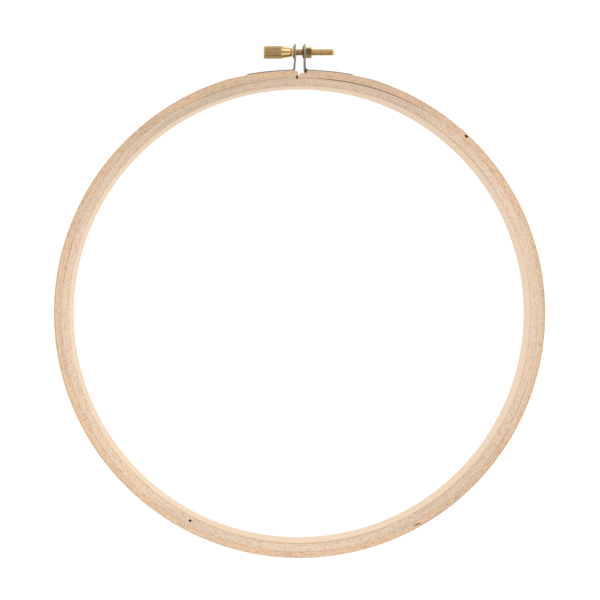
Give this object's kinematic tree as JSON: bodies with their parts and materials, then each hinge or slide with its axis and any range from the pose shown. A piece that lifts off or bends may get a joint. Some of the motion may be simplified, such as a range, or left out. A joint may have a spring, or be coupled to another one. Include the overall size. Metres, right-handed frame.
{
  "type": "embroidery hoop",
  "caption": "Round wooden hoop of two nested rings, the outer one split and drawn tight by a knurled brass screw through two steel ears.",
  "frame": {"origin": "on the axis of the two rings, at the face the hoop rests on", "axes": "+Z along the axis of the rings, up through the hoop from the face it rests on; +Y towards the clamp, square to the screw; +X from the screw's knurled head towards its tip"},
  "size_m": [0.2584, 0.2724, 0.016],
  "materials": {
    "inner_wood": "smooth sanded, unvarnished, pale",
    "outer_wood": "sanded, unvarnished, slightly darker",
    "steel_strip": "dull zinc plated",
    "tack_steel": "bright",
    "brass": "turned, satin"
  },
  "bodies": {
    "outer_ring": {"outer_ring_left": "outer_wood", "bracket_left": "steel_strip", "tacks_left": "tack_steel"},
    "opening_half": {"outer_ring_right": "outer_wood", "bracket_right": "steel_strip", "tacks_right": "tack_steel"},
    "inner_ring": {"inner_ring": "inner_wood"},
    "clamp_screw": {"clamp_screw": "brass"},
    "hex_nut": {"hex_nut": "brass"}
  },
  "joints": [
    {"name": "screw_turn", "type": "hinge", "parent": "outer_ring", "child": "clamp_screw", "pos_m": [0, 0.1387, 0.008], "axis": [-1, 0, 0], "range_deg": [0, 3600]},
    {"name": "nut_travel", "type": "slide", "parent": "outer_ring", "child": "hex_nut", "axis": [1, 0, 0], "range_m": [0, 0.006]},
    {"name": "hoop_opening", "type": "hinge", "parent": "outer_ring", "child": "opening_half", "pos_m": [0, -0.1292, 0.008], "axis": [0, 0, -1], "range_deg": [0, 1.28]},
    {"name": "inner_ring_lift", "type": "slide", "parent": "outer_ring", "child": "inner_ring", "axis": [0, 0, 1], "range_m": [0, 0.04]}
  ],
  "couplings": [
    {"joint": "screw_turn", "follows": "hoop_opening", "ratio": 2805.4},
    {"joint": "nut_travel", "follows": "hoop_opening", "m_per_rad": 0.2679}
  ]
}
